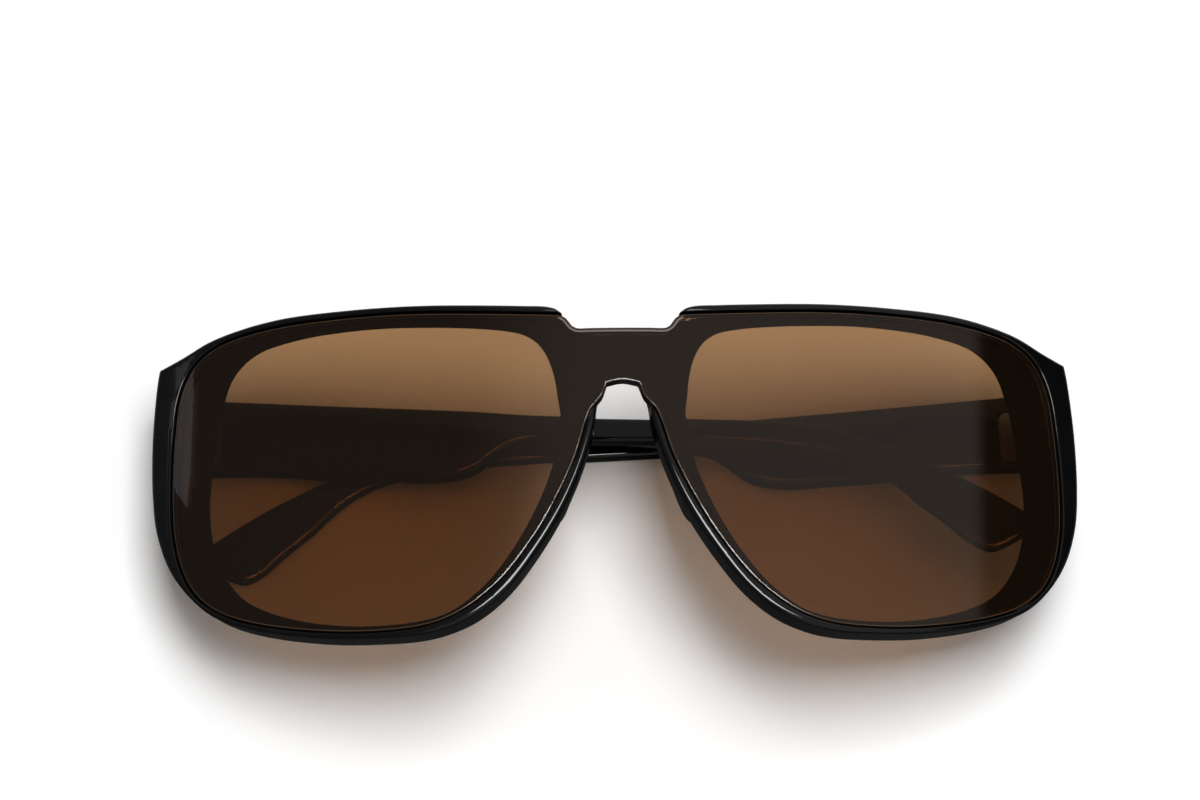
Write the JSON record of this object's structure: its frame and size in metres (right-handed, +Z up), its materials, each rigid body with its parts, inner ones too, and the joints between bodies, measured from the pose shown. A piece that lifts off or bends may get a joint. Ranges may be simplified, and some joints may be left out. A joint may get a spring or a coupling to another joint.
{
  "type": "shield sunglasses",
  "caption": "Large sunglasses with one curved brown shield lens in a gloss black frame, temples folded behind it on barrel hinges.",
  "frame": {"origin": "middle of the bounding box's lower face, on the surface that the folded glasses lie on", "axes": "+X across the front to the right in the picture, +Y towards the top edge of the front, +Z up, out of the lens"},
  "size_m": [0.151, 0.0566, 0.0399],
  "materials": {
    "gloss_black": "polished black",
    "brown_lens": "see-through brown tint",
    "brushed_steel": "brushed",
    "soft_black": "satin"
  },
  "bodies": {
    "front": {"front_frame": "gloss_black", "shield_lens": "brown_lens", "left_nose_pad": "soft_black", "right_nose_pad": "soft_black", "left_hinge_front_leaf": "brushed_steel", "right_hinge_front_leaf": "brushed_steel", "left_hinge_screw": "brushed_steel", "right_hinge_screw": "brushed_steel"},
    "left_temple_arm": {"left_temple": "gloss_black", "left_temple_core": "brushed_steel", "left_hinge_temple_leaf": "brushed_steel"},
    "right_temple_arm": {"right_temple": "gloss_black", "right_temple_core": "brushed_steel", "right_hinge_temple_leaf": "brushed_steel"}
  },
  "joints": [
    {"name": "left_temple_fold", "type": "hinge", "parent": "front", "child": "left_temple_arm", "pos_m": [-0.06999, 0, 0.0052], "axis": [0, 1, 0], "range_deg": [0, 99]},
    {"name": "right_temple_fold", "type": "hinge", "parent": "front", "child": "right_temple_arm", "pos_m": [0.06999, 0, 0.0052], "axis": [0, -1, 0], "range_deg": [0, 93]}
  ]
}
